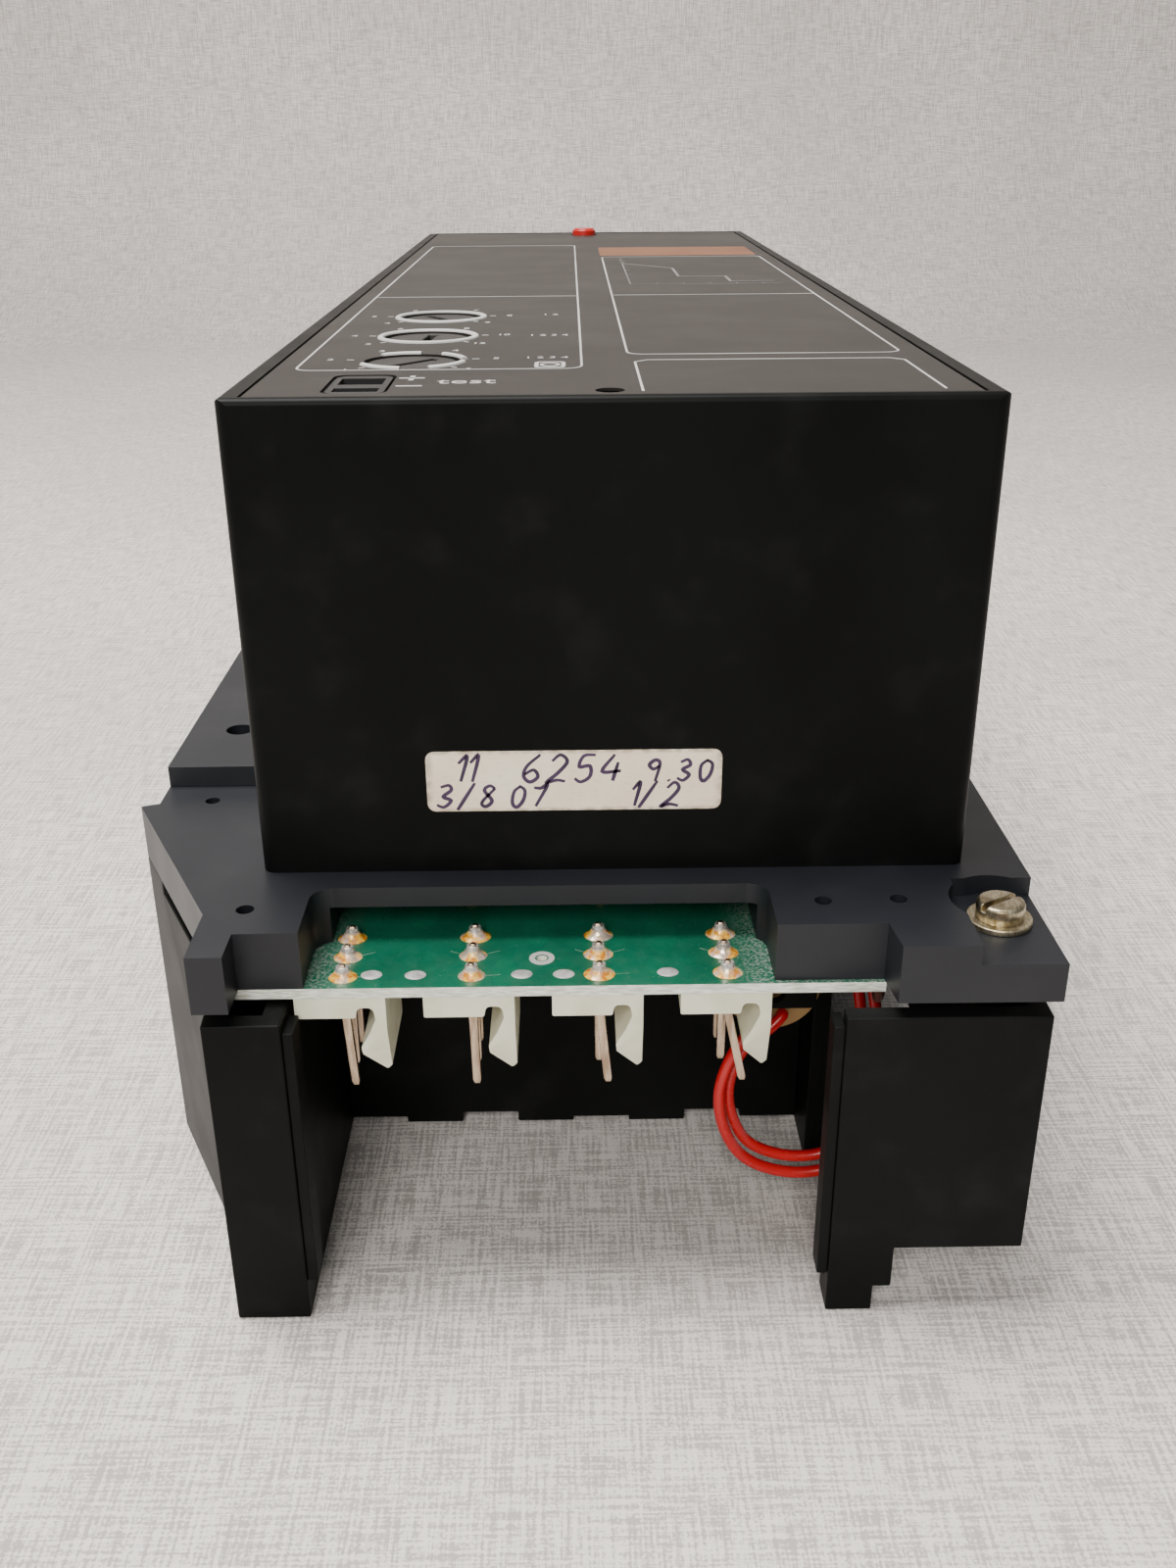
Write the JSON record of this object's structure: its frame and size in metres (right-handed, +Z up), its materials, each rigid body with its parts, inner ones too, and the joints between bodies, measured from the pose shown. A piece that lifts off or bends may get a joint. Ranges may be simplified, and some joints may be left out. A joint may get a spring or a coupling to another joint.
{
  "type": "electronic trip unit",
  "caption": "Boxed electronic trip unit with selector dials, a reset button and plug-in headers, standing on two side cheeks under a flanged base.",
  "frame": {"origin": "centre of the bounding box in plan, at the height of the floor that the cheeks stand on", "axes": "+Z up through the cover; +Y from the connector bay at the front to the reset button at the back; +X to the side of the slotted clamp screw"},
  "size_m": [0.1384, 0.3524, 0.135],
  "materials": {
    "cover_black": "satin black moulded cover with dust and light edge wear",
    "label_grey": "dark grey printed foil with white lines",
    "sticker_paper": "cream paper sticker with pen digits",
    "socket_black": "fine moulded black",
    "contact_brass": "plain brass",
    "screw_steel": "bright steel",
    "dial_grey": "matte dark grey",
    "switch_blue": "moulded blue",
    "board_green": "green solder mask",
    "button_red": "moulded red",
    "spring_steel": "spring wire",
    "bracket_steel": "plated sheet steel",
    "core_iron": "stacked laminations",
    "coil_tape": "tan winding tape",
    "capacitor_blue": "shrink sleeve",
    "film_yellow": "moulded film capacitor",
    "chip_black": "moulded epoxy",
    "resistor_green": "glazed wire-wound resistor",
    "relay_ivory": "ivory moulding",
    "terminal_green": "green moulding",
    "ribbon_grey": "grey flat cable",
    "plate_black": "satin black moulding with worn edges",
    "cheek_black": "satin black moulding with dust",
    "screw_zinc": "yellow passivated zinc",
    "header_ivory": "ivory nylon",
    "pin_tin": "warm tinned brass",
    "solder": "solder with amber flux",
    "wire_red": "red PVC insulation",
    "wire_brown": "brown PVC insulation"
  },
  "bodies": {
    "housing": {"cover_shell": "cover_black", "face_label": "label_grey", "id_sticker": "sticker_paper", "test_socket": "socket_black", "test_contacts": "contact_brass", "seal_screw": "screw_steel", "rotary_switch_1": "switch_blue", "rotary_switch_2": "switch_blue", "rotary_switch_3": "switch_blue", "dial_board": "board_green", "dial_board_screws": "screw_steel", "button_spring": "spring_steel", "button_bracket": "bracket_steel", "reset_switch": "socket_black", "main_board": "board_green", "board_spacers": "contact_brass", "main_board_screws": "screw_steel", "transformer_core": "core_iron", "transformer_winding": "coil_tape", "capacitors": "capacitor_blue", "film_capacitors": "film_yellow", "logic_chips": "chip_black", "power_resistors": "resistor_green", "trip_relay": "relay_ivory", "wire_terminal": "terminal_green", "ribbon_sockets": "socket_black", "ribbon_cable": "ribbon_grey", "stacking_connector": "socket_black", "stacking_pins": "contact_brass", "front_plate": "plate_black", "base_deck": "plate_black", "cover_screws": "screw_steel", "left_cheek": "cheek_black", "right_cheek": "cheek_black", "bay_wall": "cheek_black", "rear_bridge": "cheek_black", "cheek_screws": "screw_steel", "clamp_screw": "screw_zinc", "clamp_washer": "screw_zinc", "screw_insert": "contact_brass", "guide_strips": "cheek_black", "connector_board": "board_green", "header_housings": "header_ivory", "header_pins": "pin_tin", "solder_joints": "solder", "trip_yoke": "cheek_black", "coil_bobbin": "coil_tape", "trip_coil": "coil_tape", "plunger_spring": "spring_steel", "red_wires": "wire_red", "brown_wire": "wire_brown"},
    "dial_1": {"dial_1": "dial_grey"},
    "dial_2": {"dial_2": "dial_grey"},
    "dial_3": {"dial_3": "dial_grey"},
    "button": {"reset_button": "button_red"},
    "plunger": {"trip_plunger": "bracket_steel"}
  },
  "joints": [
    {"name": "dial_1_turn", "type": "hinge", "parent": "housing", "child": "dial_1", "pos_m": [-0.0218, -0.11775, 0.13], "axis": [0, 0, 1], "range_deg": [-135, 135]},
    {"name": "dial_2_turn", "type": "hinge", "parent": "housing", "child": "dial_2", "pos_m": [-0.0218, -0.08975, 0.13], "axis": [0, 0, 1], "range_deg": [-135, 135]},
    {"name": "dial_3_turn", "type": "hinge", "parent": "housing", "child": "dial_3", "pos_m": [-0.0218, -0.06175, 0.13], "axis": [0, 0, 1], "range_deg": [-135, 135]},
    {"name": "button_press", "type": "slide", "parent": "housing", "child": "button", "axis": [0, 0, -1], "range_m": [0, 0.0018], "stiffness_N_per_m": 300, "springref_m": -0.003, "deforming": ["button_spring"]},
    {"name": "plunger_pull", "type": "slide", "parent": "housing", "child": "plunger", "axis": [0, -1, 0], "range_m": [0, 0.004], "stiffness_N_per_m": 400, "springref_m": -0.003, "deforming": ["plunger_spring"]}
  ]
}
